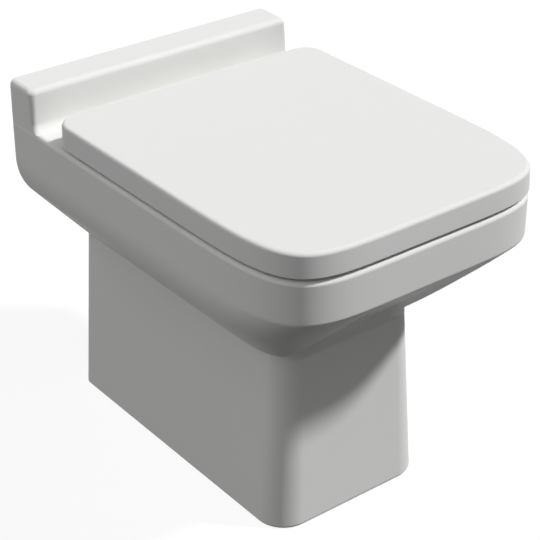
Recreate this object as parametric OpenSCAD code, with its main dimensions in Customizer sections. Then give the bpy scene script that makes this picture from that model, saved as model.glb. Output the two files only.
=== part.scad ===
// Back to wall toilet: pan with a raised back rail, seat ring and wrap-over lid.
// Millimetres. +Z up, the front faces -Y, the wall plane is the part's +Y side.

/* [Overall size] */
// Width over the rim of the pan
pan_w = 372; // [340:1:400]
// Depth from the wall to the front of the rim
pan_d = 520; // [480:1:600]
// Height of the rim above the floor
rim_z = 397; // [370:1:460]
// Depth of the upright band round the rim
band_h = 49.5; // [30:0.5:80]
// Thickness of the china walls
wall_t = 11; // [8:0.5:15]
// Roundness of the pan's front corners, the exponent of a superellipse
pan_round = 6; // [3:0.1:8]

/* [Pedestal] */
// Width of the pedestal at the floor
foot_w = 220.8; // [180:0.2:300]
// Width of the pedestal at the crease under the bowl
waist_w = 192; // [150:1:260]
// Distance from the wall to the front of the foot
foot_d = 408; // [360:1:500]
// Distance from the wall to the front of the waist
waist_d = 398; // [340:1:480]
// Height of the crease where the bowl leaves the pedestal
waist_z = 219; // [180:1:260]
// Radius of the pedestal's front corners at the floor
foot_round = 36; // [15:1:60]
// Radius of the pedestal's front corners at the waist
waist_round = 18; // [15:1:50]
// Radius of the edge round the foot
foot_edge = 5; // [2:0.5:8]
// Lean of the bowl's front above the pedestal, in degrees from upright
front_lean = 48; // [35:1:50]
// Height of the round collar between the bowl and the pedestal's front
collar_h = 32; // [10:1:36]
// Depth of the collar's round, from its top back to the pedestal
collar_t = 16; // [8:1:20]
// Height at which the side slope would meet the rim band
side_break_z = 321; // [290:1:345]
// Radius of the roll from the side slope into the rim band
side_roll = 72; // [20:1:90]

/* [Back rail] */
// Width of the raised back rail
rail_w = 371.6; // [340:0.1:400]
// Thickness of the back rail
rail_t = 47.3; // [35:0.1:70]
// Height of the rail's top above the floor
rail_z = 448.4; // [430:0.1:520]
// Radius of the rail's top edges
rail_edge = 7; // [2:0.5:12]
// Radius of the fillet between the rail and the deck
rail_fillet = 12; // [4:1:20]

/* [Bowl] */
// Width of the bowl's opening
bowl_w = 268; // [240:1:290]
// Distance from the wall to the back of the bowl's opening
bowl_back = 160; // [150:1:200]
// Distance from the front of the bowl's opening to the front of the rim
bowl_rim = 30; // [25:1:60]
// Height of the sump's floor
sump_z = 185; // [175:1:200]
// Width of the sump
sump_w = 80; // [66:1:100]
// Distance from the wall to the middle of the sump
sump_back = 262; // [240:1:270]
// Radius of the lip round the bowl's opening
bowl_lip = 6; // [2:0.5:8]

/* [Trap and outlet] */
// Inner radius of the trap
trap_r = 30; // [25:1:35]
// Radius of the trap's lower bend
trap_bend = 40; // [39:1:50]
// Height of the weir over which the water leaves
weir_z = 206; // [195:1:220]
// Outer diameter of the outlet spigot
spigot_od = 102; // [90:1:110]
// Height of the outlet's centre
spigot_z = 180; // [160:1:200]
// Length of the straight outlet spigot
spigot_len = 46; // [40:1:60]
// Gap between the spigot's end and the wall plane
spigot_gap = 4; // [2:1:30]

/* [Flush inlet] */
// Diameter of the inlet's bore
inlet_d = 55; // [50:1:60]
// Height of the inlet's centre
inlet_z = 335; // [310:1:350]
// Depth of the inlet's bore
inlet_len = 50; // [40:1:60]
// Diameter of the water way from the inlet to the bowl
way_d = 44; // [36:1:50]
// Inner diameter of the rubber seal, which takes the flush pipe
seal_id = 44.5; // [40:0.5:50]
// Length of the rubber seal
seal_len = 36; // [30:1:45]

/* [Lid] */
// Distance from the wall to the lid's back edge
lid_back = 92.4; // [85:0.1:110]
// Height of the gap between the rim and the lid's lower edge
lid_gap = 4.5; // [3:0.1:8]
// Height of the lid
lid_h = 28.5; // [24:0.5:36]
// Thickness of the lid's shell
lid_skin = 4; // [3:0.5:6]
// How far the lid's sides stay inside the pan's sides
lid_inset = 0.8; // [0:0.1:6]
// Radius of the lid's top edge
lid_edge = 4.5; // [2:0.5:8]
// Radius of the lid's back corners in plan
lid_corner = 25; // [10:1:40]

/* [Seat ring] */
// Thickness of the seat ring
ring_h = 18.5; // [14:0.5:22]
// Gap between the seat ring and the lid's skirt
ring_gap = 2.5; // [2:0.1:6]
// Width of the hole in the ring
ring_hole_w = 224; // [200:1:240]
// Distance from the wall to the back of the ring's hole
ring_hole_back = 190; // [180:1:220]
// Distance from the front of the ring's hole to the front of the rim
ring_rim = 60; // [45:1:90]
// Thickness of the ring's shell
ring_skin = 6; // [4:0.5:8]
// Diameter of the pads under the seat ring
pad_d = 18; // [14:1:24]
// Diameter of the pads between the ring and the lid
lid_pad_d = 16; // [12:1:20]
// Diameter of the pegs that hold the pads in the ring
peg_d = 6; // [4:0.5:8]
// Length of the pegs
peg_len = 7; // [5:0.5:9]
// Distance from the rim's front to the middle of the front pads
pad_front = 32; // [26:1:36]
// Distance from the bowl's side line in to the middle of the front pads
pad_in = 50; // [40:1:60]
// Distance from the bowl's side line out to the middle of the side pads
pad_out = 18; // [15:1:22]
// Distance from the back of the ring's hole to the middle of the side pads
pad_back = 42; // [30:1:80]

/* [Hinge] */
// Distance between the two fixing holes in the deck
hinge_pitch = 155; // [140:1:170]
// Distance from the wall to the hinge axis
axis_back = 105.8; // [100:0.1:125]
// Height of the hinge axis above the rim
axis_up = 16; // [14:0.5:20]
// Width of a hinge post
post_w = 16; // [12:0.5:20]
// Diameter of the hinge pins
pin_d = 8; // [6:0.5:10]
// Outer diameter of dampers and bushes
barrel_d = 14; // [12:0.5:15]
// Outer diameter of the hinge eyes on the lid and the ring
eye_d = 18; // [17:0.1:19]
// Length of a hinge eye
eye_len = 38; // [30:1:45]
// Diameter of the fixing studs
stud_d = 8; // [6:0.5:10]
// Length of the fixing studs below the deck's top
stud_len = 62; // [50:1:80]
// How far a pin reaches out of its post on each side
pin_reach = 24; // [16:1:26]
// Thickness of the stainless plates under the posts
base_t = 1.2; // [1:0.1:2]
// Diameter of the clamping washers
washer_d = 34; // [28:1:40]
// Thickness of the clamping washers
washer_t = 4; // [3:0.5:6]
// Diameter of a wing nut's hub
nut_d = 18; // [14:1:22]
// Height of a wing nut
nut_h = 14; // [10:1:18]
// Width over a wing nut's wings
nut_wings = 38; // [30:1:44]

/* [Hidden] */
$fn = 48;
// Radial clearance of everything that turns or slides in a hole
fit = 0.05;
// Clear distance beside the posts in the lid's notches
free = 1.2;
wall_y = pan_d / 2;
band_z = rim_z - band_h;
bowl_front = pan_d - bowl_rim;
ring_hole_front = pan_d - ring_rim;
rim_edge = 5;
axis_z = rim_z + axis_up;
lid_z0 = rim_z + lid_gap;
lid_z1 = lid_z0 + lid_h;
ring_z1 = lid_z0 + ring_h;
post_x = hinge_pitch / 2;
eye_off = post_w / 2 + 1.5;
plate_r = 22;
plate_back = 6;
hole_d = stud_d + 6;
// Height of the collar's round, and where the bowl's front slope would meet the crease
collar_r = collar_h + 0.4;
belly_d = pan_d - (band_z - waist_z) * tan(front_lean);

// y of a point at distance w from the wall
function yw(w) = wall_y - w;

// Angle that crowds the points of a quarter round its corner
function crowd(u) = let (v = 2 * u - 1) 45 + 45 * (0.4 * v + 0.6 * v * v * v);

// Distance of the unit superellipse of roundness n in the direction t
function reach(t, n) = pow(pow(abs(cos(t)), n) + pow(abs(sin(t)), n), -1 / n);

// Plan outline: half width a, straight back at w0 with corners r, sides straight to
// the distance s from the wall, then a superellipse of roundness n with its front at f
function outline(a, w0, r, s, f, n, z, q = 14) = concat(
  [for (i = [0:3]) let (t = 90 + 30 * i)
    [-a + r + r * cos(t), yw(w0 + r) + r * sin(t), z]],
  [for (i = [0:2 * q])
    let (t = 180 + (i <= q ? crowd(i / q) : 90 + crowd(i / q - 1)), k = reach(t, n))
    [a * k * cos(t), yw(s) + (f - s) * k * sin(t), z]],
  [for (i = [0:3]) let (t = 30 * i)
    [a - r + r * cos(t), yw(w0 + r) + r * sin(t), z]]);

// Closed oval: half width a from w0 to w1, roundness n
function oval(a, w0, w1, n, z, m = 40) = [for (i = [0:m - 1])
  let (t = 360 * i / m, k = reach(t, n))
  [a * k * cos(t), yw((w0 + w1) / 2) + (w1 - w0) / 2 * k * sin(t), z]];

// Rectangle with round corners: half width a from w0 to w1, back radius r, front radius q
function slab(a, w0, w1, r, q, z) = concat(
  [for (i = [0:5]) let (t = 90 + 18 * i)
    [-a + r + r * cos(t), yw(w0 + r) + r * sin(t), z]],
  [for (i = [0:5]) let (t = 180 + 18 * i)
    [-a + q + q * cos(t), yw(w1 - q) + q * sin(t), z]],
  [for (i = [0:5]) let (t = 270 + 18 * i)
    [a - q + q * cos(t), yw(w1 - q) + q * sin(t), z]],
  [for (i = [0:5]) let (t = 18 * i)
    [a - r + r * cos(t), yw(w0 + r) + r * sin(t), z]]);

// Skin over rings with equal numbers of points, closed by the first and the last ring
module loft(rings) {
  m = len(rings[0]);
  k = len(rings);
  polyhedron(
    points = [for (r = rings) each r],
    faces = concat(
      [[for (i = [0:m - 1]) i]],
      [for (j = [0:k - 2], i = [0:m - 1]) let (b = j * m, n = (i + 1) % m)
        [b + i, b + m + i, b + m + n]],
      [for (j = [0:k - 2], i = [0:m - 1]) let (b = j * m, n = (i + 1) % m)
        [b + i, b + m + n, b + n]],
      [[for (i = [m - 1:-1:0]) (k - 1) * m + i]]),
    convexity = 8);
}

// Half width or depth at height z of a slope from (x0, z0) towards (x1, zc), which an
// arc of radius r turns into the upright line x1
function belly(z, x0, z0, x1, zc, r) =
  let (th = atan((x1 - x0) / (zc - z0)), tl = r * tan(th / 2),
    za = zc - tl * cos(th), zb = zc + tl)
  z <= za ? x0 + (z - z0) * tan(th)
    : z >= zb ? x1 : x1 - r + sqrt(r * r - (zb - z) * (zb - z));

// Radius of the pan's back corners at the part u of the way up from the waist
function back_round_r(u) = 6 - 4 * u;

// Ring of the bowl's outside at height z, moved in by d for the hollow inside it
function belly_ring(z, d, w0) =
  let (z0 = waist_z + 0.4 * d, u = min(1, max(0, (z - z0) / (band_z - z0))))
  outline(belly(z, waist_w / 2 - d, z0, pan_w / 2 - d, side_break_z + 0.36 * d,
      side_roll - d), w0, back_round_r(u), 200 + 50 * u,
    belly(z, belly_d - d, z0, pan_d - d, band_z + 0.36 * d, 5), 4 + (pan_round - 4) * u, z);

// Ring pushed forward by b in the middle of the front, and less and less to its corners
function swollen(ring, b) = [for (p = ring)
  let (g = min(1, max(0, (waist_w / 2 - 8 - abs(p[0])) / 46)))
  [p[0], p[1] - b * g * g * (3 - 2 * g), p[2]]];

// Ring of the collar at the angle t of its round, 90 at its top, where it leaves the slope
function collar_ring(t) = let (h = collar_r * cos(t))
  swollen(belly_ring(waist_z + collar_h - h, 0, 0),
    h * tan(front_lean) - collar_t * (1 - sin(t)));

// Ring of the pedestal at height z, moved in by d
function foot_ring(z, d, w0) = let (v = 1 - z / waist_z)
  slab(waist_w / 2 + (foot_w - waist_w) / 2 * v - d, w0, waist_d + (foot_d - waist_d) * v - d,
    6, waist_round + (foot_round - waist_round) * v - 0.6 * d, z);

// Outside of the china from the floor to the rim
module pan_body() {
  e = rim_edge;
  f = foot_edge;
  loft(concat(
    [for (t = [0, 30, 60, 90]) foot_ring(f - f * cos(t), f - f * sin(t), 0)],
    [foot_ring(waist_z + 36, 0, 0)]));
  loft(concat(
    [belly_ring(waist_z - 5, 0, 0)],
    [for (t = [0, 15, 30, 45, 60, 75, 90]) collar_ring(t)],
    [for (u = [0.4, 0.62, 0.74, 0.84, 0.92, 0.98, 1.02])
      belly_ring(waist_z + u * (band_z - waist_z), 0, 0)],
    [for (t = [0, 30, 60, 90])
      outline(pan_w / 2 - e + e * cos(t), 0, 2, 250, pan_d - e + e * cos(t), pan_round,
        rim_z - e + e * sin(t))]));
}

// Hollow under the bowl, open to the floor and to the wall
module pan_hollow() {
  loft([foot_ring(-5, wall_t, -5), foot_ring(waist_z + 12, wall_t, -5)]);
  loft(concat(
    [for (u = [-0.06, 0.4, 0.7, 0.88, 1.04])
      belly_ring(waist_z + 0.4 * wall_t + u * (band_z - waist_z - 0.4 * wall_t), wall_t, -5)],
    [belly_ring(rim_z - wall_t - 1, wall_t, -5)]));
}

// Raised rail along the wall, with a fillet down to the deck
module rail_body() {
  e = rail_edge;
  g = rail_fillet;
  loft(concat(
    [slab(rail_w / 2, 0, rail_t + g + 2, 2, 3, rim_z - 8)],
    [for (t = [0, 22.5, 45, 67.5, 90])
      slab(rail_w / 2, 0, rail_t + g - g * sin(t), 2, 6, rim_z - 0.5 + g - g * cos(t))],
    [for (t = [0, 30, 60, 90])
      slab(rail_w / 2 - e + e * cos(t), 0, rail_t - 1 - e + e * cos(t), 3, 8,
        rail_z - e + e * sin(t))]));
}

// Ring of the bowl's inside, moved out by d, at height z and the part u of its rise
function bowl_ring(u, d, z) = let (s = sin(90 * u), b = sump_w / 2)
  oval(b + (bowl_w / 2 - b) * s + d, sump_back - b + (bowl_back + b - sump_back) * s - d,
    sump_back + b + (bowl_front - b - sump_back) * s + d, 2 + 0.5 * u, z);

// Rings of the bowl from the sump to the foot of its lip, moved out by d for its shell
function bowl_rings(d) = [for (u = [0, 0.12, 0.25, 0.4, 0.55, 0.7, 0.85, 1])
  bowl_ring(u, d, sump_z - d + (rim_z - bowl_lip - sump_z + d) * u)];

// Inside of the bowl, which opens at the top over a round lip
module bowl_inside() {
  e = bowl_lip;
  loft(concat(bowl_rings(0),
    [for (t = [22.5, 45, 67.5, 90]) bowl_ring(1, e - e * cos(t), rim_z - e + e * sin(t))],
    [bowl_ring(1, e, rim_z + 1)]));
}

// Points and directions of the trap's middle line: lower bend, rise, crown and outlet
crown_r = 42;
out_r = 42;
trap_t = 8;
rise_w = sump_back - 2 * trap_bend;
bend_z = weir_z - 50 - 2 * trap_r + trap_bend + trap_r;
crown_z = weir_z + trap_r - crown_r;
fall = acos((spigot_z - crown_z + out_r) / (crown_r + out_r));
crown_w = rise_w - crown_r;
end_w = crown_w - (crown_r + out_r) * sin(fall);
trap_line = concat(
  [[sump_back, sump_z + 16, 0]],
  [for (i = [0:8]) let (t = 22.5 * i)
    [rise_w + trap_bend + trap_bend * cos(t), bend_z - trap_bend * sin(t), -t]],
  [for (i = [0:8]) let (t = (90 + fall) * i / 8)
    [crown_w + crown_r * cos(t), crown_z + crown_r * sin(t), 180 + t]],
  [for (i = [1:4]) let (t = fall * (1 - i / 4))
    [end_w + out_r * sin(t), spigot_z + out_r - out_r * cos(t), 270 + t]],
  [[spigot_gap + spigot_len - 10, spigot_z, 270]]);

// Tube of radius r along the trap's line
module trap_tube(r) {
  loft([for (p = trap_line) [for (i = [0:19]) let (a = 18 * i)
    [-r * sin(a), yw(p[0] + r * cos(a) * cos(p[2])), p[1] + r * cos(a) * sin(p[2])]]]);
}

// Outlet: a cone from radius r0 at depth w to radius r1, then a cylinder to the end w0
module outlet(r0, r1, w, w0) {
  translate([0, yw(w), spigot_z]) rotate([-90, 0, 0]) cylinder(r1 = r0, r2 = r1, h = 14);
  translate([0, yw(w - 14), spigot_z]) rotate([-90, 0, 0]) cylinder(r = r1, h = w - 14 - w0);
}

// One piece of vitreous china with bowl, trap, outlet and inlet cast in
module pan() color([0.95, 0.95, 0.94]) difference() {
  union() {
    difference() {
      union() {
        pan_body();
        rail_body();
      }
      pan_hollow();
      translate([-rail_w / 2 + wall_t, yw(rail_t - wall_t - 2), rim_z - wall_t - 4])
        cube([rail_w - 2 * wall_t, rail_t - 2 * wall_t - 2, rail_z - rim_z + 4]);
    }
    loft(bowl_rings(wall_t));
    trap_tube(trap_r + trap_t);
    outlet(trap_r, spigot_od / 2, spigot_gap + spigot_len + 14, spigot_gap);
    translate([0, yw(bowl_back + 12), inlet_z]) rotate([-90, 0, 0])
      cylinder(d = inlet_d + 2 * wall_t, h = bowl_back + 12 - spigot_gap);
  }
  bowl_inside();
  trap_tube(trap_r);
  outlet(trap_r - 2, spigot_od / 2 - wall_t, spigot_gap + spigot_len + 8, spigot_gap - 5);
  translate([0, yw(bowl_back + 30), inlet_z]) rotate([-90, 0, 0])
    cylinder(d = way_d, h = bowl_back);
  translate([0, yw(spigot_gap + inlet_len), inlet_z]) rotate([-90, 0, 0])
    cylinder(d = inlet_d, h = inlet_len + 5);
  for (s = [-1, 1])
    translate([s * post_x, yw(axis_back), rim_z - wall_t - 8])
      cylinder(d = hole_d, h = wall_t + 20);
}

// Rubber sleeve between the inlet and the flush pipe
module inlet_seal() color([0.12, 0.12, 0.12])
  translate([0, yw(spigot_gap + seal_len), inlet_z]) rotate([-90, 0, 0]) difference() {
    cylinder(d = inlet_d - 2 * fit, h = seal_len);
    translate([0, 0, -1]) cylinder(d = seal_id, h = seal_len + 2);
  }

// Outline of lid and ring: d inside the lid's outer side, back edge at w0
function lid_ring(d, w0, r, z) =
  outline(pan_w / 2 - lid_inset - d, w0, r, 250, pan_d - d, pan_round + 0.2, z);

// Sector behind and below the hinge axis that the lid's back edge turns through
module back_round() {
  r = axis_up - base_t - 0.8;
  translate([-pan_w / 2, yw(axis_back), 0]) difference() {
    translate([0, 0, lid_z0 - 5]) cube([pan_w, 30, axis_z - lid_z0 + 5]);
    translate([-1, 0, axis_z]) rotate([0, 90, 0]) cylinder(r = r, h = pan_w + 2, $fn = 96);
  }
}

// Wrap-over lid: a shell with two hinge eyes hung from its underside
module lid() color([0.95, 0.95, 0.95]) {
  e = lid_edge;
  k = lid_skin;
  difference() {
    union() {
      difference() {
        loft(concat(
          [lid_ring(1, lid_back + 1, lid_corner - 1, lid_z0),
            lid_ring(0, lid_back, lid_corner, lid_z0 + 1)],
          [for (t = [0, 30, 60, 90])
            lid_ring(0.6 + e - e * cos(t), lid_back + e - e * cos(t), lid_corner - e * (1 - cos(t)),
              lid_z1 - e + e * sin(t))]));
        loft([lid_ring(k + 0.4, lid_back + k, lid_corner - k, lid_z0 - 1),
          lid_ring(k + 0.6, lid_back + k, lid_corner - k, lid_z1 - k)]);
      }
      for (s = [-1, 1]) {
        translate([s * (post_x + eye_off + eye_len / 2), 0, 0]) {
          translate([-eye_len / 2, yw(axis_back), axis_z]) rotate([0, 90, 0])
            cylinder(d = eye_d, h = eye_len);
          translate([-eye_len / 2, yw(axis_back + 7), axis_z])
            cube([eye_len, 14, lid_z1 - axis_z - k / 2]);
        }
      }
    }
    back_round();
    for (s = [-1, 1]) {
      translate([s * post_x - post_w / 2 - free, yw(axis_back - 4), lid_z0 - 1])
        cube([post_w + 2 * free, 14, lid_z1 - lid_z0 - k]);
      translate([s * (post_x + eye_off - 0.01), yw(axis_back), axis_z])
        rotate([0, s * 90, 0]) cylinder(d = barrel_d + 2 * fit, h = eye_len - 4);
    }
  }
}

// Seat ring: a shell open below, with bosses for its buffers and two hinge eyes
module seat_ring() color([0.94, 0.94, 0.94]) {
  g = lid_skin + 0.6 + ring_gap;
  k = ring_skin;
  back = axis_back + 10;
  difference() {
    union() {
      difference() {
        loft(concat(
          [lid_ring(g + 1, back, 8, lid_z0), lid_ring(g, back, 8, lid_z0 + 1)],
          [for (t = [0, 30, 60, 90])
            lid_ring(g + 5 - 5 * cos(t), back + 2 - 2 * cos(t), 8,
              ring_z1 - 5 + 5 * sin(t))]));
        difference() {
          loft([lid_ring(g + k, back + k + 8, 6, lid_z0 - 1),
            lid_ring(g + k + 1, back + k + 8, 6, ring_z1 - k)]);
          loft([oval(ring_hole_w / 2 + k, ring_hole_back - k, ring_hole_front + k, 2.4,
              lid_z0 - 2), oval(ring_hole_w / 2 + k, ring_hole_back - k,
              ring_hole_front + k, 2.4, ring_z1)]);
        }
      }
      buffer_spots() translate([0, 0, lid_z0]) cylinder(d = pad_d + 6, h = ring_h - 2);
      for (s = [-1, 1])
        translate([s * (post_x - eye_off - eye_len / 2), 0, 0]) {
          translate([-eye_len / 2, yw(axis_back), axis_z]) rotate([0, 90, 0])
            cylinder(d = eye_d, h = eye_len);
          translate([-eye_len / 2, yw(back + 6), axis_z - 5]) cube([eye_len, 13, 10]);
        }
    }
    loft([oval(ring_hole_w / 2, ring_hole_back, ring_hole_front, 2.4, lid_z0 - 1),
      oval(ring_hole_w / 2, ring_hole_back, ring_hole_front, 2.4, ring_z1 - 7),
      oval(ring_hole_w / 2 + 2, ring_hole_back - 2, ring_hole_front + 2, 2.4, ring_z1 - 3),
      oval(ring_hole_w / 2 + 9, ring_hole_back - 9, ring_hole_front + 9, 2.4,
        ring_z1 + 0.5)]);
    for (s = [-1, 1])
      translate([s * (post_x - eye_off + 0.01), yw(axis_back), axis_z])
        rotate([0, -s * 90, 0]) cylinder(d = barrel_d + 2 * fit, h = eye_len - 4);
    buffer_spots() translate([0, 0, lid_z0 - 1]) cylinder(d = peg_d + 2 * fit, h = peg_len + 2);
  }
}

// Places of the seat buffers: two at the front, two at the sides
module buffer_spots() {
  for (s = [-1, 1]) {
    translate([s * (bowl_w / 2 - pad_in), yw(pan_d - pad_front), 0]) children();
    translate([s * (bowl_w / 2 + pad_out), yw(ring_hole_back + pad_back), 0]) children();
  }
}

// Soft pads that carry the ring on the rim, each with a peg into the ring
module seat_buffers() color([0.85, 0.85, 0.84]) buffer_spots() {
  translate([0, 0, rim_z]) cylinder(d = pad_d, h = lid_gap);
  translate([0, 0, rim_z + lid_gap - 0.5]) cylinder(d = peg_d, h = peg_len);
}

// Soft pads between the lid and the ring
module lid_buffers() color([0.85, 0.85, 0.84]) for (s = [-1, 1])
  translate([s * (ring_hole_w / 2 + 6), yw(ring_hole_front - 20), ring_z1])
    cylinder(d = lid_pad_d, h = lid_z1 - lid_skin - ring_z1);

// Post at side s: a block on its plate with a round head that holds the hinge pin
module hinge_post(s) color([0.7, 0.71, 0.73]) translate([s * post_x, yw(axis_back), 0])
  difference() {
    union() {
      translate([0, 0, axis_z]) rotate([0, 90, 0])
        cylinder(d = 15, h = post_w, center = true);
      translate([-post_w / 2, -7.5, rim_z + base_t]) cube([post_w, 15, axis_up - base_t]);
    }
    translate([0, 0, axis_z]) rotate([0, 90, 0])
      cylinder(d = pin_d + 2 * fit, h = post_w + 2, center = true);
    translate([0, 0, rim_z - 1]) cylinder(d = stud_d + 2 * fit, h = 10);
  }

module hinge_post_left() hinge_post(-1);

module hinge_post_right() hinge_post(1);

// Thin stainless plates between the posts and the china
module hinge_plates() color([0.75, 0.76, 0.78]) for (s = [-1, 1])
  translate([s * post_x, yw(axis_back), rim_z]) difference() {
    intersection() {
      cylinder(r = plate_r, h = base_t);
      translate([-plate_r, -plate_r, -1])
        cube([2 * plate_r, plate_r + plate_back, base_t + 2]);
    }
    translate([0, 0, -1]) cylinder(d = stud_d + 2 * fit, h = base_t + 2);
  }

// Pin at side s: through the post, out into the lid's eye and in into the ring's eye
module hinge_pin(s) color([0.78, 0.79, 0.8])
  translate([s * post_x, yw(axis_back), axis_z]) rotate([0, 90, 0])
    cylinder(d = pin_d, h = post_w + 2 * pin_reach, center = true);

module hinge_pin_left() hinge_pin(-1);

module hinge_pin_right() hinge_pin(1);

// Barrel in an eye, from x outwards in the direction s, bored to the depth for the pin
module barrel(x, s, len, depth) translate([x, yw(axis_back), axis_z])
  rotate([0, s * 90, 0]) difference() {
    cylinder(d = barrel_d, h = len);
    translate([0, 0, -1]) cylinder(d = pin_d + 2 * fit, h = depth + 1);
  }

// Soft close damper of the ring, in its left eye
module seat_damper() color([0.3, 0.3, 0.32])
  barrel(-(post_x - eye_off), 1, eye_len - 5, pin_reach + 1);

// Soft close damper of the lid, in its right eye
module lid_damper() color([0.3, 0.3, 0.32])
  barrel(post_x + eye_off, 1, eye_len - 5, pin_reach + 1);

// Plain bush of the ring, in its right eye
module seat_bush() color([0.8, 0.8, 0.78])
  barrel(post_x - eye_off, -1, pin_reach + 2, pin_reach + 3);

// Plain bush of the lid, in its left eye
module lid_bush() color([0.8, 0.8, 0.78])
  barrel(-(post_x + eye_off), -1, pin_reach + 2, pin_reach + 3);

// Studs from the posts down through the deck
module fixing_studs() color([0.75, 0.76, 0.78]) for (s = [-1, 1])
  translate([s * post_x, yw(axis_back), rim_z - stud_len])
    cylinder(d = stud_d, h = stud_len + 8);

// Rubber sleeves that centre the studs in the deck's holes
module stud_sleeves() color([0.15, 0.15, 0.15]) for (s = [-1, 1])
  translate([s * post_x, yw(axis_back), rim_z - wall_t - 1]) difference() {
    cylinder(d = hole_d - 2 * fit, h = wall_t + 1);
    translate([0, 0, -1]) cylinder(d = stud_d + 2 * fit, h = wall_t + 3);
  }

// Washers that clamp the deck from below
module clamp_washers() color([0.2, 0.2, 0.2]) for (s = [-1, 1])
  translate([s * post_x, yw(axis_back), rim_z - wall_t - 1 - washer_t]) difference() {
    cylinder(d = washer_d, h = washer_t);
    translate([0, 0, -1]) cylinder(d = stud_d + 2 * fit, h = washer_t + 2);
  }

// Wing nuts under the washers
module wing_nuts() color([0.9, 0.9, 0.88]) for (s = [-1, 1])
  translate([s * post_x, yw(axis_back), rim_z - wall_t - 1 - washer_t - nut_h]) difference() {
    union() {
      cylinder(d = nut_d, h = nut_h);
      translate([-nut_wings / 2, -2, 0]) cube([nut_wings, 4, nut_h - 3]);
    }
    translate([0, 0, -1]) cylinder(d = stud_d + 2 * fit, h = nut_h + 2);
  }

pan();
inlet_seal();
seat_ring();
lid();
hinge_post_left();
hinge_post_right();
hinge_plates();
hinge_pin_left();
hinge_pin_right();
seat_damper();
lid_damper();
seat_bush();
lid_bush();
seat_buffers();
lid_buffers();
fixing_studs();
stud_sleeves();
clamp_washers();
wing_nuts();
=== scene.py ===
"""Back to wall toilet: glazed china pan with a raised rail, and a wrap-over lid over its seat ring."""
import math

import bmesh
import bpy
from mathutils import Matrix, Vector


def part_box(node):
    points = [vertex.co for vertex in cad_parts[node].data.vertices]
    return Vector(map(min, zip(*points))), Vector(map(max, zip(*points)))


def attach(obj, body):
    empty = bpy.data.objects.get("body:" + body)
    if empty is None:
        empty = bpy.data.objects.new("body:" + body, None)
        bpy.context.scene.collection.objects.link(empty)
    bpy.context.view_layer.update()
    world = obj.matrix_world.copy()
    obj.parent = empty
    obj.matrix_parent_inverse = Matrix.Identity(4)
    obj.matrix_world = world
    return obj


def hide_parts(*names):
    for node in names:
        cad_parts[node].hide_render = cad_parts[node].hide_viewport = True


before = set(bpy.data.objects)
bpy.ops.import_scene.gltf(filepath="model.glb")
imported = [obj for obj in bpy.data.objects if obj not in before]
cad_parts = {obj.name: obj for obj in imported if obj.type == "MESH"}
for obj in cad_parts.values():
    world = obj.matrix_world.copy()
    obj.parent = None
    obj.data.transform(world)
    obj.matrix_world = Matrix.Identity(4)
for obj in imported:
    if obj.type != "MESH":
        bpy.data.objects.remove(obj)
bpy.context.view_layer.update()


# ---------------------------------------------------------------- Camera
# A long lens, high at the front left of the pan, as in a sales picture.
# The aim lies inside the bowl's left side, and the lens keeps 36 mm film across the frame.
aim = Vector((-0.0586, -0.0666, 0.2982))
turn, tilt = math.radians(-37.864), math.radians(29.984)
away = 1.8464
camera_data = bpy.data.cameras.new("camera")
camera_data.lens = 111.5
camera_data.sensor_width = 36
camera = bpy.data.objects.new("camera", camera_data)
towards_camera = Vector((math.sin(turn) * math.cos(tilt), -math.cos(turn) * math.cos(tilt),
                         math.sin(tilt)))
camera.location = aim + towards_camera * away
camera.rotation_euler = towards_camera.to_track_quat("Z", "Y").to_euler()
bpy.context.collection.objects.link(camera)
bpy.context.scene.camera = camera
bpy.context.scene.view_settings.view_transform = "Standard"


# ---------------------------------------------------------------- China: the outside of the pan
# The pan is slip cast in one piece of vitreous china and glazed, so every edge is soft.
# Its outside is a pile of plan outlines: a slim foot, a collar, a belly and an upright rim band.
# Sizes are in millimetres. Widths are halves, and depths are distances from the wall.
mm = 0.001
high = Vector(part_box("pan")[1]) / mm
wall_y = high.y
pan_half, pan_deep, rim_z = 186.0, 520.0, 397.0
band_z = 347.5
rim_edge, rim_side, rim_bend = 5.0, 250.0, 6.0
foot_half, foot_deep, foot_round, foot_edge = 110.4, 408.0, 36.0, 5.0
waist_half, waist_deep, waist_round, waist_z = 96.0, 398.0, 28.0, 219.0
waist_side, waist_bend = 200.0, 8.0
foot_corner, foot_into = 9, 36
side_break_z, side_roll, front_roll = 321.0, 72.0, 5.0
front_lean = math.tan(math.radians(49))
valley, valley_half, valley_slope = 0.13, 25.0, 75.0
crease_z, collar_side = 228.0, 290.0
china_wall = 11.0


def crowd(part):
    """Angle in a quarter, crowded round the quarter's corner."""
    middle = 2 * part - 1
    return math.radians(45 + 45 * (0.4 * middle + 0.6 * middle ** 3))


def reach(angle, roundness):
    """How far the unit superellipse reaches in that direction."""
    return (abs(math.cos(angle)) ** roundness + abs(math.sin(angle)) ** roundness) ** (-1 / roundness)


def outline(half, back, corner, side, front, roundness, z, steps=30, bend=5):
    """Plan outline: a straight back with round corners, straight sides, and a superellipse front."""
    arc = [math.radians(90 * i / bend) for i in range(bend + 1)]
    left = [(-half + corner - corner * math.sin(t), wall_y - back - corner + corner * math.cos(t), z)
            for t in arc]
    front_line = []
    for i in range(2 * steps + 1):
        t = math.pi + (crowd(i / steps) if i <= steps else math.pi / 2 + crowd(i / steps - 1))
        k = reach(t, roundness)
        front_line.append((half * k * math.cos(t), wall_y - side + (front - side) * k * math.sin(t), z))
    right = [(-x, y, z) for x, y, z in reversed(left)]
    return left + front_line + right


def belly(z, x0, z0, x1, break_z, roll):
    """Half width or depth at height z: a slope that an arc turns into the upright band."""
    lean = math.atan((x1 - x0) / (break_z - z0))
    tangent = roll * math.tan(lean / 2)
    if z <= break_z - tangent * math.cos(lean):
        return x0 + (z - z0) * math.tan(lean)
    if z >= break_z + tangent:
        return x1
    return x1 - roll + math.sqrt(roll ** 2 - (break_z + tangent - z) ** 2)


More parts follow.
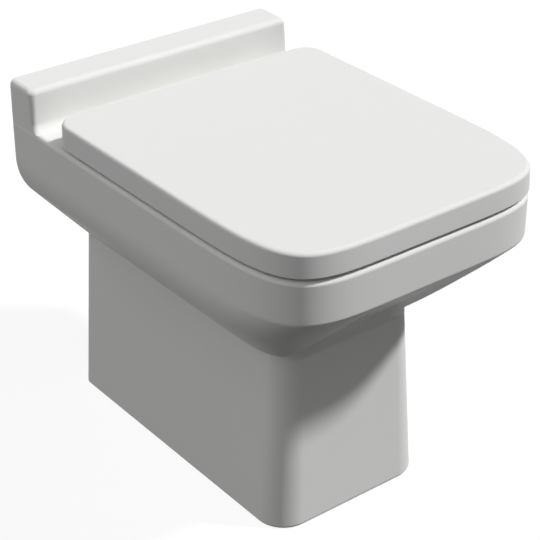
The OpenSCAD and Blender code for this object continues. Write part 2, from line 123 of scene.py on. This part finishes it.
def belly_outline(z, inset=0.0, back=0.0):
    """Outline of the bowl's outside at height z, moved in by inset for the hollow inside it.

    The underside is fuller at its corners, which leaves a shallow valley in the middle of the front.
    The hollow's slopes start and break a little higher, so that the wall keeps its thickness there.
    """
    start, later = waist_z + 0.4 * inset, 0.36 * inset
    up = min(1.0, max(0.0, (z - start) / (band_z - start)))
    half = belly(z, waist_half - inset, start, pan_half - inset, side_break_z + later,
                 side_roll - inset)
    front = belly(z, pan_deep - (band_z - waist_z) * front_lean - inset, start, pan_deep - inset,
                  band_z + later, front_roll)
    points = []
    for x, y, z in outline(half, back, 6 - 4 * up, waist_side + (rim_side - waist_side) * up, front,
                           waist_bend + (rim_bend - waist_bend) * up, z):
        aside = min(1.0, max(0.0, (abs(x) - valley_half) / valley_slope))
        ahead = max(0.0, (wall_y - y - rim_side) / (front - rim_side))
        fuller = valley * max(0.0, band_z - z) * aside ** 2 * (3 - 2 * aside)
        points.append((x, y - fuller * ahead, z))
    return points


def slab(half, back, front, back_corner, front_corner, z, bend=6):
    """Rectangle with round corners between two distances from the wall."""
    corners = ((-half, wall_y - back, back_corner, 90), (-half, wall_y - front, front_corner, 180),
               (half, wall_y - front, front_corner, 270), (half, wall_y - back, back_corner, 0))
    points = []
    for x, y, r, start in corners:
        middle_x = x - math.copysign(r, x)
        middle_y = y - r if start in (90, 0) else y + r
        for i in range(bend + 1):
            t = math.radians(start + 90 * i / bend)
            points.append((middle_x + r * math.cos(t), middle_y + r * math.sin(t), z))
    return points


def foot_outline(z, inset=0.0, back=0.0):
    """Outline of the pedestal at height z, moved in by inset."""
    flare = 1 - z / waist_z
    return slab(waist_half + (foot_half - waist_half) * flare - inset, back,
                waist_deep + (foot_deep - waist_deep) * flare - inset, foot_corner,
                waist_round + (foot_round - waist_round) * flare - 0.6 * inset, z, 12)


def collar_outline(proud, z):
    """Outline of the round collar, proud of the pedestal's front and blunter at its corners."""
    return slab(waist_half + proud / 8, collar_side, waist_deep + proud, 6, waist_round + 2 * proud,
                z, 12)


def skin(name, outlines):
    """A closed skin drawn out from outline to outline, with a face at each end."""
    bm = bmesh.new()
    row = [bm.verts.new(Vector(point) * mm) for point in outlines[0]]
    edges = [bm.edges.new(pair) for pair in zip(row, row[1:] + row[:1])]
    bmesh.ops.contextual_create(bm, geom=edges)
    for points in outlines[1:]:
        drawn = set(bmesh.ops.extrude_edge_only(bm, edges=edges)["geom"])
        row = [next(e.other_vert(v) for e in v.link_edges if e.other_vert(v) in drawn) for v in row]
        for vert, point in zip(row, points):
            vert.co = Vector(point) * mm
        edges = [bm.edges.get(pair) for pair in zip(row, row[1:] + row[:1])]
    bmesh.ops.contextual_create(bm, geom=edges)
    bmesh.ops.recalc_face_normals(bm, faces=bm.faces)
    mesh = bpy.data.meshes.new(name)
    bm.to_mesh(mesh)
    bm.free()
    made = bpy.data.objects.new(name, mesh)
    bpy.context.collection.objects.link(made)
    return made


def carve(target, tool, operation):
    """Joins the tool to the target or cuts it away, and deletes the tool."""
    change = target.modifiers.new("carve", "BOOLEAN")
    change.object = tool
    change.operation = operation
    change.solver = "EXACT"
    made = bpy.data.meshes.new_from_object(target.evaluated_get(bpy.context.evaluated_depsgraph_get()))
    target.modifiers.clear()
    target.data = made
    bpy.data.objects.remove(tool)


def quarter(steps=6):
    """Angles of a quarter turn."""
    return [math.radians(90 * i / steps) for i in range(steps + 1)]


# A level every 5 mm up the underside, and then one every 1 mm where the band begins.
levels = [waist_z - 5 + 5 * i for i in range(27)] + [band_z - 1.5 + i for i in range(5)]
outside = [belly_outline(z) for z in levels]
for t in quarter():
    shrink = rim_edge * (1 - math.cos(t))
    outside.append(outline(pan_half - shrink, 0, 2, rim_side, pan_deep - shrink, rim_bend,
                           rim_z - rim_edge * (1 - math.sin(t))))
pan = skin("pan_china", outside)
foot = [foot_outline(foot_edge * (1 - math.cos(t)), foot_edge * (1 - math.sin(t))) for t in quarter()]
carve(pan, skin("pedestal", foot + [foot_outline(waist_z + foot_into)]), "UNION")

# The collar's profile, as how far it stands proud and how far it is above the crease.
collar = [(-0.4, -9), (0.3, -5.5), (1.5, -2.5), (3.6, 0.2), (6.4, 3), (9.4, 7), (12.2, 12),
          (14.4, 17), (15.8, 21), (16.6, 25), (16.4, 28), (14, 31)]
carve(pan, skin("collar", [collar_outline(proud, crease_z + rise) for proud, rise in collar]), "UNION")


# ---------------------------------------------------------------- China: the raised rail at the wall
# The rail is cast with the pan. It stands on the deck behind the lid and meets it in a wide
# fillet, and its top and ends are rounded like the rest of the casting.
rail_half, rail_thick, rail_z = 185.8, 47.3, high.z
rail_edge, rail_fillet = 7.0, 12.0

rail = [slab(rail_half, 0, rail_thick + rail_fillet + 2, 2, 3, rim_z - 8)]
rail += [slab(rail_half, 0, rail_thick + rail_fillet * (1 - math.sin(t)), 2, 6,
              rim_z - 0.5 + rail_fillet * (1 - math.cos(t))) for t in quarter(10)]
for t in quarter():
    shrink = rail_edge * (1 - math.cos(t))
    rail.append(slab(rail_half - shrink, 0, rail_thick - 1 - shrink, 3, 8,
                     rail_z - rail_edge * (1 - math.sin(t))))
carve(pan, skin("rail", rail), "UNION")


# ---------------------------------------------------------------- China: bowl, trap, outlet and inlet
# The casting is a shell: open to the wall and the floor, with the bowl hung inside it. The trap
# leaves the sump, rises over its weir and ends in the outlet spigot. The inlet feeds the bowl.
# The seat's fixings go through two holes in the deck.
bowl_half, bowl_back, bowl_front, bowl_lip, bowl_bend = 134.0, 160.0, 490.0, 6.0, 2.5
sump_z, sump_half, sump_at, throat = 185.0, 40.0, 262.0, 16.0
trap_r, trap_wall, bend_r, crown_r = 30.0, 8.0, 40.0, 42.0
weir_z, seal_deep = 206.0, 50.0
spigot_r, spigot_z, spigot_gap, spigot_long, spigot_cone = 51.0, 180.0, 4.0, 46.0, 14.0
inlet_r, inlet_z, inlet_long, way_r = 27.5, 335.0, 50.0, 22.0
bolt_hole_r, bolt_x, axis_at = 7.0, 77.5, 105.8
past = 5.0


def oval(half, back, front, roundness, z, steps=96):
    """Closed oval between two distances from the wall."""
    points = []
    for i in range(steps):
        t = 2 * math.pi * i / steps
        k = reach(t, roundness)
        points.append((half * k * math.cos(t),
                       wall_y - (back + front) / 2 + (front - back) / 2 * k * math.sin(t), z))
    return points


def bowl_outlines(grow, top, levels):
    """Outlines of the bowl from the sump up, moved out by grow for the outside of its shell."""
    made = []
    for i in range(levels + 1):
        up = i / levels
        wider = math.sin(math.pi / 2 * up)
        made.append(oval(sump_half + (bowl_half - sump_half) * wider + grow,
                         sump_at - sump_half + (bowl_back + sump_half - sump_at) * wider - grow,
                         sump_at + sump_half + (bowl_front - sump_half - sump_at) * wider + grow,
                         2 + (bowl_bend - 2) * up, sump_z - grow + (top - sump_z + grow) * up))
    return made


def tube(line, radius, steps=40):
    """Rings of a tube along a line of (distance from the wall, height, angle of its width)."""
    rings = []
    for at, z, lean in line:
        ring = []
        for i in range(steps):
            t = 2 * math.pi * i / steps
            across = radius * math.cos(t)
            ring.append((-radius * math.sin(t), wall_y - at - across * math.cos(lean),
                         z + across * math.sin(lean)))
        rings.append(ring)
    return rings


def round_bar(name, ends, z, steps=64):
    """Bar with a round section on the way to the wall, through (distance from the wall, radius)."""
    turns = [2 * math.pi * i / steps for i in range(steps)]
    return skin(name, [[(r * math.cos(t), wall_y - at, z + r * math.sin(t)) for t in turns]
                       for at, r in ends])


def stud(name, x, at, radius, low, top, steps=32):
    """Upright round bar at x and a distance from the wall."""
    turns = [2 * math.pi * i / steps for i in range(steps)]
    return skin(name, [[(x + radius * math.cos(t), wall_y - at + radius * math.sin(t), z)
                        for t in turns] for z in (low, top)])


rise_at = sump_at - 2 * bend_r
bend_z = weir_z - seal_deep - 2 * trap_r + bend_r + trap_r
crown_z = weir_z + trap_r - crown_r
fall = math.acos((spigot_z - crown_z + crown_r) / (2 * crown_r))
crown_at = rise_at - crown_r
outlet_at = crown_at - 2 * crown_r * math.sin(fall)
trap_line = [(sump_at, sump_z + throat, 0.0)]
trap_line += [(rise_at + bend_r + bend_r * math.cos(t), bend_z - bend_r * math.sin(t), -t)
              for t in (math.pi * i / 18 for i in range(19))]
trap_line += [(crown_at + crown_r * math.cos(t), crown_z + crown_r * math.sin(t), math.pi + t)
              for t in ((math.pi / 2 + fall) * i / 18 for i in range(19))]
trap_line += [(outlet_at + crown_r * math.sin(t), spigot_z + crown_r - crown_r * math.cos(t),
               1.5 * math.pi + t) for t in (fall * (1 - i / 9) for i in range(1, 10))]
trap_line += [(spigot_gap + spigot_long - 10, spigot_z, 1.5 * math.pi)]
shoulder = spigot_gap + spigot_long

carve(pan, skin("foot_room", [foot_outline(-past, china_wall, -past),
                              foot_outline(waist_z + 12, china_wall, -past)]), "DIFFERENCE")
belly_room = [belly_outline(z, china_wall, -past) for z in levels[1:-2:3] + [rim_z - china_wall - 1]]
carve(pan, skin("belly_room", belly_room), "DIFFERENCE")
rail_room = [slab(rail_half - china_wall, china_wall, rail_thick - china_wall - 2, 1, 1, z)
             for z in (rim_z - china_wall - 4, rail_z - china_wall)]
carve(pan, skin("rail_room", rail_room), "DIFFERENCE")
carve(pan, skin("bowl_shell", bowl_outlines(china_wall, rim_z - 6, 16)), "UNION")
carve(pan, skin("trap_shell", tube(trap_line, trap_r + trap_wall)), "UNION")
carve(pan, round_bar("spigot", [(shoulder + spigot_cone, trap_r), (shoulder, spigot_r),
                                (spigot_gap, spigot_r)], spigot_z), "UNION")
carve(pan, round_bar("inlet_horn", [(bowl_back + 12, inlet_r + china_wall),
                                    (spigot_gap, inlet_r + china_wall)], inlet_z), "UNION")
bowl_room = bowl_outlines(0, rim_z, 28)[:-2]
for t in quarter(8):
    flare = bowl_lip * (1 - math.cos(t))
    bowl_room.append(oval(bowl_half + flare, bowl_back - flare, bowl_front + flare, bowl_bend,
                          rim_z - bowl_lip * (1 - math.sin(t))))
bowl_room.append(oval(bowl_half + bowl_lip, bowl_back - bowl_lip, bowl_front + bowl_lip, bowl_bend,
                      rim_z + 3))
carve(pan, skin("bowl_room", bowl_room), "DIFFERENCE")
carve(pan, skin("trap_room", tube(trap_line, trap_r)), "DIFFERENCE")
carve(pan, round_bar("outlet_room", [(shoulder + 8, trap_r - 2), (shoulder - 6, spigot_r - china_wall),
                                     (-past, spigot_r - china_wall)], spigot_z), "DIFFERENCE")
carve(pan, round_bar("water_way", [(bowl_back + 30, way_r), (30, way_r)], inlet_z), "DIFFERENCE")
carve(pan, round_bar("inlet_room", [(spigot_gap + inlet_long, inlet_r), (-past, inlet_r)], inlet_z),
      "DIFFERENCE")
for side in (-1, 1):
    carve(pan, stud("bolt_hole", side * bolt_x, axis_at, bolt_hole_r, rim_z - china_wall - 8,
                    rim_z + 4), "DIFFERENCE")


def smooth(piece, angle=32):
    """Closes the hairlines that the cuts leave, and shades soft edges smooth and flat faces flat."""
    bm = bmesh.new()
    bm.from_mesh(piece.data)
    bmesh.ops.remove_doubles(bm, verts=bm.verts, dist=0.01 * mm)
    bm.to_mesh(piece.data)
    bm.free()
    piece.data.shade_smooth()
    piece.data.set_sharp_from_angle(angle=math.radians(angle))
    weigh = piece.modifiers.new("even_normals", "WEIGHTED_NORMAL")
    weigh.keep_sharp = True


def hex_colour(text):
    """Linear colour of an sRGB hex value."""
    values = [int(text[i:i + 2], 16) / 255 for i in (1, 3, 5)]
    return [v / 12.92 if v <= 0.04045 else ((v + 0.055) / 1.055) ** 2.4 for v in values] + [1.0]


def new_material(name, colour, roughness, metallic=0.0, specular=0.5):
    """Material with a Principled shader of constant values."""
    made = bpy.data.materials.new(name)
    made.use_nodes = True
    shader = made.node_tree.nodes["Principled BSDF"]
    shader.inputs["Base Color"].default_value = hex_colour(colour)
    shader.inputs["Roughness"].default_value = roughness
    shader.inputs["Metallic"].default_value = metallic
    shader.inputs["Specular IOR Level"].default_value = specular
    return made


# Glazed vitreous china: a clean white whose glaze gives the photograph no mirror images, only a
# wide and faint sheen, so the gloss is far below that of fresh glaze.
glazed_china = new_material("glazed_vitreous_china", "#f1f1ef", 0.5, specular=0.06)
smooth(pan)
pan.data.materials.clear()
pan.data.materials.append(glazed_china)
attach(pan, "base")
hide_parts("pan")


# ---------------------------------------------------------------- Inlet seal, stud sleeves and washers
# Moulded from rubber: the seal in the inlet takes the flush pipe, the sleeves centre the studs in
# the deck's holes, and the washers spread the nuts' grip under it. Like the other small pieces
# they have their true shape in the CAD model already, and only get their finish here.


def finish(material, *nodes):
    """Gives the material to nodes that keep their CAD shape."""
    for name in nodes:
        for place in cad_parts[name].material_slots:
            place.material = material


# Moulded rubber: nearly black and dull, with hardly a highlight.
black_rubber = new_material("black_rubber", "#222222", 0.65)
finish(black_rubber, "inlet_seal", "stud_sleeves", "clamp_washers")


# ---------------------------------------------------------------- Studs, base plates and hinge pins
# Drawn stainless bar and sheet. The studs go down through the deck, the plates lie on it under
# the posts, and the pins are pressed into the posts.
# Drawn stainless: the brightest metal here, with clear highlights.
drawn_stainless = new_material("drawn_stainless", "#c8cacc", 0.25, metallic=1.0)
finish(drawn_stainless, "fixing_studs", "hinge_plates", "hinge_pin_left", "hinge_pin_right")


# ---------------------------------------------------------------- Hinge posts
# Two small posts of die cast zinc stand on the deck, each held down by its stud. They carry the
# pins on which the ring and the lid turn.
# Satin plated zinc: a mid grey metal with blurred highlights.
satin_zinc = new_material("satin_zinc", "#b9bbbe", 0.38, metallic=1.0)
finish(satin_zinc, "hinge_post_left", "hinge_post_right")


# ---------------------------------------------------------------- Wing nuts and plain bushes
# Moulded from nylon. The nuts hold the posts from under the deck, and a plain bush lines the eye
# of each piece on the side that has no damper.
# Moulded nylon: off-white and half dull.
moulded_nylon = new_material("moulded_nylon", "#dcdcd6", 0.5)
finish(moulded_nylon, "wing_nuts", "seat_bush", "lid_bush")


# ---------------------------------------------------------------- Soft close dampers
# Two barrels moulded from acetal hold the oil brakes. One sits in an eye of the ring and one in
# an eye of the lid, each on a fixed pin.
# Moulded acetal: dark grey with a quiet sheen.
moulded_acetal = new_material("moulded_acetal", "#4a4b4e", 0.45)
finish(moulded_acetal, "seat_damper", "lid_damper")


# ---------------------------------------------------------------- Seat ring
# The ring is pressed from urea. It is a shell, open below, with bosses for its four soft
# buffers and two eyes at the back that turn on the hinge pins. It lies inside the lid's skirt.
lid_low, lid_high = (Vector(corner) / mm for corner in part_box("lid"))
seat_half, seat_bend = lid_high.x, 6.2
axis_z, barrel_r, eye_r, fit = 413.0, 7.0, 9.0, 0.05
post_half = 8.0
eye_from, eye_long, eye_floor = post_half + 1.5, 38.0, 4
ring_low, ring_top = lid_low.z, lid_low.z + 18.5
ring_inset, ring_wall, ring_corner, ring_edge, ring_back = 7.1, 6.0, 8.0, 5.0, axis_at + 10
hole_half, hole_back, hole_front, hole_bend = 112.0, 190.0, 460.0, 2.4
hole_edge, hole_drop = 9.0, 7.0
ring_rib_deep, ring_rib_high, ring_rib_reach = 13, 10, 7
boss_r, peg_hole_r, peg_hole_deep = 12.0, 3.05, 8.0
buffer_spots = ((bowl_half - 50, pan_deep - 32), (bowl_half + 18, hole_back + 42))


def seat_outline(inset, back, corner, z):
    """Plan outline of the ring or the lid, inside the lid's outer side."""
    return outline(seat_half - inset, back, corner, rim_side, pan_deep - inset, seat_bend, z)


def ring_outline(inset, back, z):
    """Outline of the ring, inset from the lid's outer side."""
    return seat_outline(inset, back, ring_corner, z)


def ring_hole(grow, z):
    """Edge of the ring's hole, moved out by grow."""
    return oval(hole_half + grow, hole_back - grow, hole_front + grow, hole_bend, z)


def cross_bar(name, start, end, radius, steps=48):
    """Round bar along the hinge axis from x = start to x = end."""
    return skin(name, [[(x, wall_y - axis_at + radius * math.cos(2 * math.pi * i / steps),
                         axis_z + radius * math.sin(2 * math.pi * i / steps)) for i in range(steps)]
                       for x in (start, end)])


def block(name, corner, size):
    """Box from its low corner: x, distance of its wall side from the wall, height."""
    bm = bmesh.new()
    bmesh.ops.create_cube(bm, size=1)
    middle = (corner[0] + size[0] / 2, wall_y - corner[1] - size[1] / 2, corner[2] + size[2] / 2)
    bmesh.ops.scale(bm, vec=Vector(size) * mm, verts=bm.verts)
    bmesh.ops.translate(bm, vec=Vector(middle) * mm, verts=bm.verts)
    mesh = bpy.data.meshes.new(name)
    bm.to_mesh(mesh)
    bm.free()
    made = bpy.data.objects.new(name, mesh)
    bpy.context.collection.objects.link(made)
    return made


ring_rings = [ring_outline(ring_inset + 1, ring_back + 1, ring_low),
              ring_outline(ring_inset + 0.3, ring_back + 0.3, ring_low + 0.3),
              ring_outline(ring_inset, ring_back, ring_low + 1)]
ring_rings += [ring_outline(ring_inset + ring_edge * (1 - math.cos(t)),
                            ring_back + 2 * (1 - math.cos(t)),
                            ring_top - ring_edge * (1 - math.sin(t))) for t in quarter(8)]
ring = skin("ring_shell", ring_rings)
room_back = ring_back + ring_wall + 8
ring_room = skin("ring_room", [
    ring_outline(ring_inset + ring_wall, room_back, ring_low - 1),
    ring_outline(ring_inset + ring_wall + 1, room_back, ring_top - ring_wall)])
carve(ring_room, skin("hole_wall", [ring_hole(ring_wall, ring_low - 2),
                                    ring_hole(ring_wall, ring_top)]), "DIFFERENCE")
carve(ring, ring_room, "DIFFERENCE")
for x, at in buffer_spots:
    for side in (-1, 1):
        carve(ring, stud("boss", side * x, at, boss_r, ring_low, ring_top - 2), "UNION")
        carve(ring, stud("peg_hole", side * x, at, peg_hole_r, ring_low - 1,
                         ring_low + peg_hole_deep, 24), "DIFFERENCE")
for side in (-1, 1):
    inner, outer = side * (bolt_x - eye_from), side * (bolt_x - eye_from - eye_long)
    corner = (min(inner, outer), ring_back - ring_rib_reach, axis_z - ring_rib_high / 2)
    carve(ring, block("ring_rib", corner, (eye_long, ring_rib_deep, ring_rib_high)), "UNION")
    carve(ring, cross_bar("ring_eye", inner, outer, eye_r), "UNION")
    carve(ring, cross_bar("ring_socket", inner + side * 0.01, inner - side * (eye_long - eye_floor),
                          barrel_r + fit), "DIFFERENCE")
seat_hole = [ring_hole(1, ring_low - 1), ring_hole(0, ring_low + 1)]
seat_hole += [ring_hole(hole_edge * (1 - math.cos(t)), ring_top - hole_drop * (1 - math.sin(t)))
              for t in quarter(8)]
carve(ring, skin("seat_hole", seat_hole + [ring_hole(hole_edge, ring_top + 3)]), "DIFFERENCE")

# Pressed urea, polished: as white as the china beside it, with the same wide and faint sheen.
polished_urea = new_material("polished_urea", "#f0f0ef", 0.5, specular=0.06)
smooth(ring)
ring.data.materials.clear()
ring.data.materials.append(polished_urea)
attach(ring, "seat_assembly")
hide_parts("seat_ring")


# ---------------------------------------------------------------- Lid
# A wrap-over lid pressed from the same urea: one shell with a skirt that hides the seat ring,
# polished all over. Its back edge is notched for the hinge posts and rounded to clear the deck.
lid_back, lid_edge, lid_wall, lid_corner, lid_draft = 92.4, 4.5, 4.0, 25.0, 0.6
lid_rib_thick = 14
notch_gap, notch_at, notch_deep = 1.2, axis_at - 18, 14
plate_thick, deck_gap, round_deep = 1.2, 0.8, 30

inner_back, inner_corner = lid_back + lid_wall, lid_corner - 4
lid_rings = [seat_outline(lid_wall + lid_draft, inner_back, inner_corner, lid_high.z - lid_wall),
             seat_outline(lid_wall + 0.4, inner_back, inner_corner, lid_low.z + 0.8),
             seat_outline(lid_wall, inner_back - 0.4, inner_corner, lid_low.z),
             seat_outline(1.0, lid_back + 1.0, lid_corner - 1, lid_low.z),
             seat_outline(0.3, lid_back + 0.3, lid_corner, lid_low.z + 0.3),
             seat_outline(0, lid_back, lid_corner, lid_low.z + 1)]
for t in quarter(8):
    shrink = lid_edge * (1 - math.cos(t))
    lid_rings.append(seat_outline(lid_draft + shrink, lid_back + shrink, lid_corner - shrink,
                                  lid_high.z - lid_edge * (1 - math.sin(t))))
lid = skin("lid_shell", lid_rings)
for side in (-1, 1):
    inner, outer = side * (bolt_x + eye_from), side * (bolt_x + eye_from + eye_long)
    carve(lid, block("lid_rib", (min(inner, outer), axis_at - lid_rib_thick / 2, axis_z),
                     (eye_long, lid_rib_thick, lid_high.z - axis_z - lid_wall / 2)), "UNION")
    carve(lid, cross_bar("lid_eye", inner, outer, eye_r), "UNION")
    carve(lid, cross_bar("lid_socket", inner - side * 0.01, inner + side * (eye_long - eye_floor),
                         barrel_r + fit), "DIFFERENCE")
    carve(lid, block("notch", (side * bolt_x - post_half - notch_gap, notch_at, lid_low.z - 1),
                     (2 * (post_half + notch_gap), notch_deep, lid_high.z - lid_low.z - lid_wall)),
          "DIFFERENCE")

# What of the back edge lies too far from the axis to clear the deck is cut off in an arc.
back_round = block("back_round", (-pan_half, axis_at - round_deep, lid_low.z - 5),
                   (2 * pan_half, round_deep, axis_z - lid_low.z + 5))
carve(back_round, cross_bar("back_turn", -pan_half - 1, pan_half + 1,
                            axis_z - rim_z - plate_thick - deck_gap, 96), "DIFFERENCE")
carve(lid, back_round, "DIFFERENCE")
smooth(lid)
lid.data.materials.clear()
lid.data.materials.append(polished_urea)
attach(lid, "lid_assembly")
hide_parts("lid")


# ---------------------------------------------------------------- Buffers
# Six soft buffers, moulded from pale rubber, keep the ring off the rim and the lid off the ring.
# Each is pushed by its peg into the piece above it.
# Soft moulded rubber: nearly as pale as the ring, but dull.
buffer_rubber = new_material("soft_buffer_rubber", "#dededa", 0.6)
finish(buffer_rubber, "seat_buffers", "lid_buffers")


# ---------------------------------------------------------------- Light
# One soft lamp from the front right and above, a broad weak one from the back left, a faint one
# from the front and a little daylight from all round. The floor throws hardly any light up.
world = bpy.data.worlds.new("daylight")
bpy.context.scene.world = world
world.use_nodes = True
sky = world.node_tree
sky.nodes.clear()


def add_node(tree, kind, settings=(), links=()):
    """A node with its socket values set and its inputs linked."""
    made = tree.nodes.new(kind)
    for socket, value in settings:
        made.inputs[socket].default_value = value
    for socket, source in links:
        tree.links.new(source, made.inputs[socket])
    return made


def seen_directly(tree):
    """1 for rays from the camera, a mirror or glass, and 0 for light that falls on something."""
    path = add_node(tree, "ShaderNodeLightPath")
    first = add_node(tree, "ShaderNodeMath", links=[(0, path.outputs["Is Camera Ray"]),
                                                    (1, path.outputs["Is Glossy Ray"])])
    first.operation = "MAXIMUM"
    both = add_node(tree, "ShaderNodeMath", links=[(0, first.outputs[0]),
                                                   (1, path.outputs["Is Transmission Ray"])])
    both.operation = "MAXIMUM"
    return both.outputs[0]


soft_light = add_node(sky, "ShaderNodeBackground", [("Color", (1, 1, 1, 1)), ("Strength", 0.06)])
white_back = add_node(sky, "ShaderNodeBackground", [("Color", (1, 1, 1, 1)), ("Strength", 1.0)])
sky_mix = add_node(sky, "ShaderNodeMixShader", links=[
    ("Fac", seen_directly(sky)), (1, soft_light.outputs[0]), (2, white_back.outputs[0])])
add_node(sky, "ShaderNodeOutputWorld", links=[("Surface", sky_mix.outputs[0])])


def add_lamp(name, strength, spread, place):
    """A far lamp at a place on the sky, its light spread over an angle in degrees."""
    data = bpy.data.lights.new(name, "SUN")
    data.energy = strength
    data.angle = math.radians(spread)
    lamp = bpy.data.objects.new(name, data)
    lamp.rotation_euler = Vector(place).to_track_quat("Z", "Y").to_euler()
    bpy.context.collection.objects.link(lamp)


add_lamp("window_light", 2.65, 5, (0.49, -0.41, 0.769))
add_lamp("room_light", 0.42, 70, (0.1, -0.85, 0.5))
add_lamp("wall_bounce", 0.98, 70, (-0.78, 0.38, 0.5))


# ---------------------------------------------------------------- Floor
# A plain floor, painted white to the eye, that keeps a faint shadow of the pan. To all other
# light it is dark, so that it doesn't brighten the underside.
floor_half = 12
bm = bmesh.new()
bmesh.ops.create_grid(bm, x_segments=1, y_segments=1, size=floor_half)
floor_mesh = bpy.data.meshes.new("floor")
bm.to_mesh(floor_mesh)
bm.free()
floor = bpy.data.objects.new("floor", floor_mesh)
bpy.context.collection.objects.link(floor)
floor_material = bpy.data.materials.new("painted_floor")
floor_material.use_nodes = True
paint = floor_material.node_tree
paint.nodes.clear()
dull = add_node(paint, "ShaderNodeBsdfDiffuse", [("Color", (0.03, 0.03, 0.03, 1))])
pale = add_node(paint, "ShaderNodeBsdfDiffuse", [("Color", (0.15, 0.15, 0.15, 1))])
glow = add_node(paint, "ShaderNodeEmission", [("Color", (1, 1, 1, 1)), ("Strength", 0.9)])
lit = add_node(paint, "ShaderNodeAddShader", links=[(0, pale.outputs[0]), (1, glow.outputs[0])])
floor_mix = add_node(paint, "ShaderNodeMixShader", links=[
    ("Fac", seen_directly(paint)), (1, dull.outputs[0]), (2, lit.outputs[0])])
add_node(paint, "ShaderNodeOutputMaterial", links=[("Surface", floor_mix.outputs[0])])
floor.data.materials.append(floor_material)
